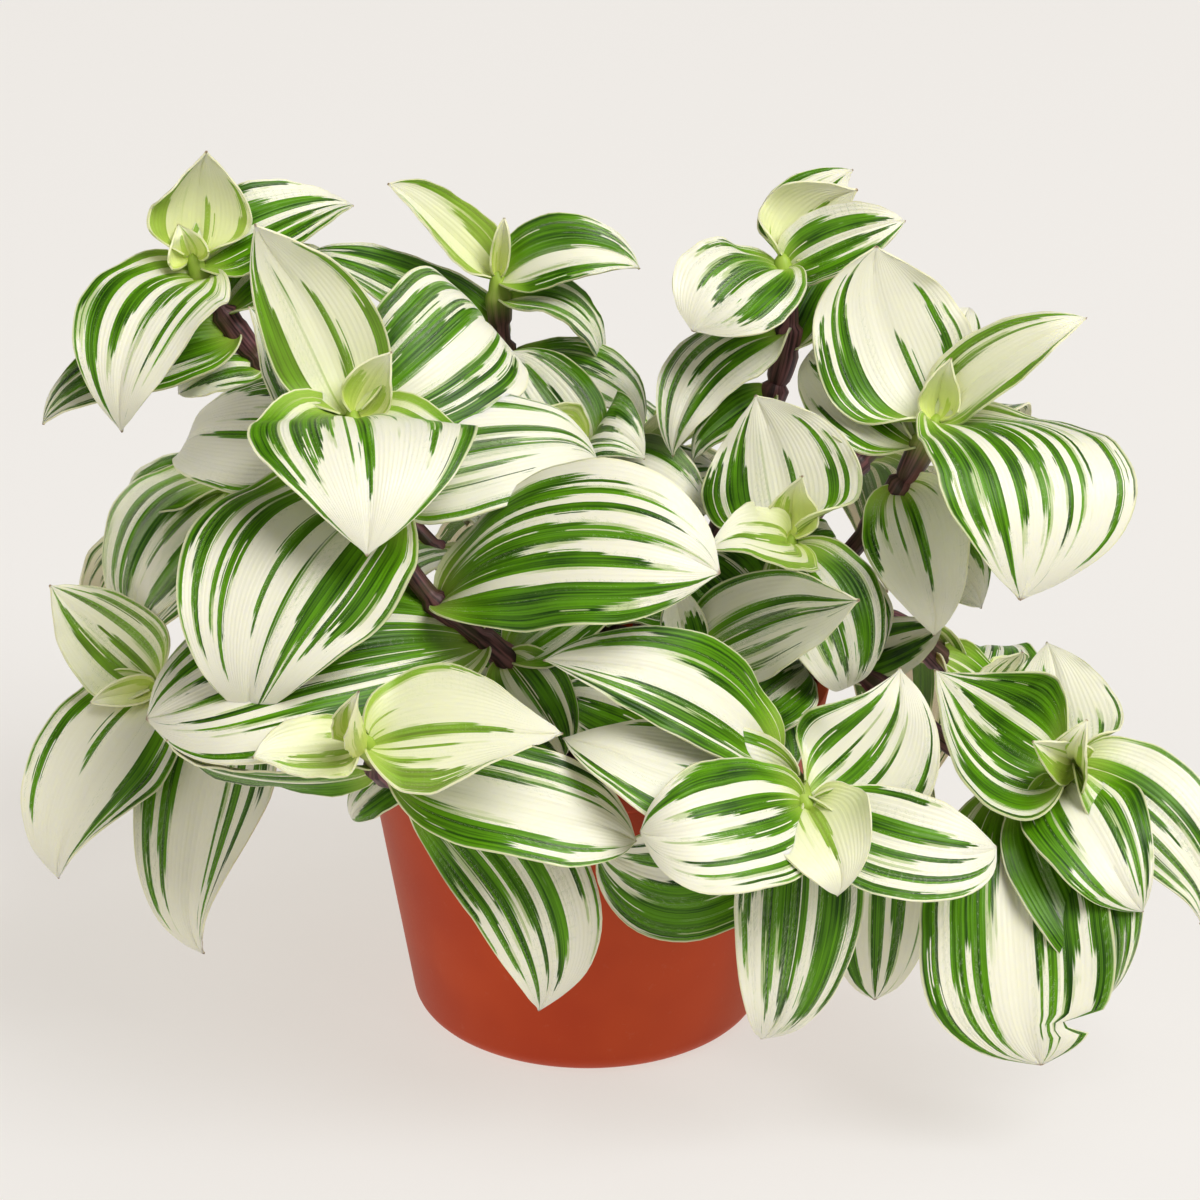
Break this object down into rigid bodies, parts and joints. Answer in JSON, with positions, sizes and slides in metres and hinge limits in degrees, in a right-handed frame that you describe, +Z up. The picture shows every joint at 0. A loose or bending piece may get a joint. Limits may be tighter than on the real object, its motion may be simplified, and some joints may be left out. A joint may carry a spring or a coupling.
{
  "type": "potted tradescantia",
  "caption": "Bushy trailing house plant with white and green striped leaves on purple-brown stems, in a tapered terracotta-coloured plastic pot.",
  "frame": {"origin": "centre of the pot's flat base, on the surface it stands on", "axes": "+Z up out of the pot, +Y away from the side the picture shows, +X to that view's right"},
  "size_m": [0.2903, 0.2383, 0.2181],
  "materials": {
    "pot_plastic": "smooth moulded plastic, terracotta red, soft sheen",
    "potting_soil": "damp crumbly peat soil, dark brown, rough",
    "striped_leaf": "fleshy leaf, cream white with ragged dark green stripes along it, satin"
  },
  "bodies": {
    "root": {"pot": "pot_plastic", "soil": "potting_soil", "shoot_front_left": "striped_leaf", "shoot_right": "striped_leaf", "shoot_low_front": "striped_leaf", "shoot_low_left_front": "striped_leaf", "shoot_low_right": "striped_leaf", "shoot_centre": "striped_leaf", "shoot_low_left": "striped_leaf", "shoot_front_centre": "striped_leaf", "shoot_right_back": "striped_leaf", "shoot_back_left": "striped_leaf", "shoot_back_centre": "striped_leaf", "shoot_middle": "striped_leaf", "shoot_left": "striped_leaf", "shoot_back_mid": "striped_leaf", "shoot_back_right": "striped_leaf", "shoot_back_low_right": "striped_leaf", "shoot_back_low_left": "striped_leaf", "shoot_back_low": "striped_leaf"}
  },
  "joints": []
}
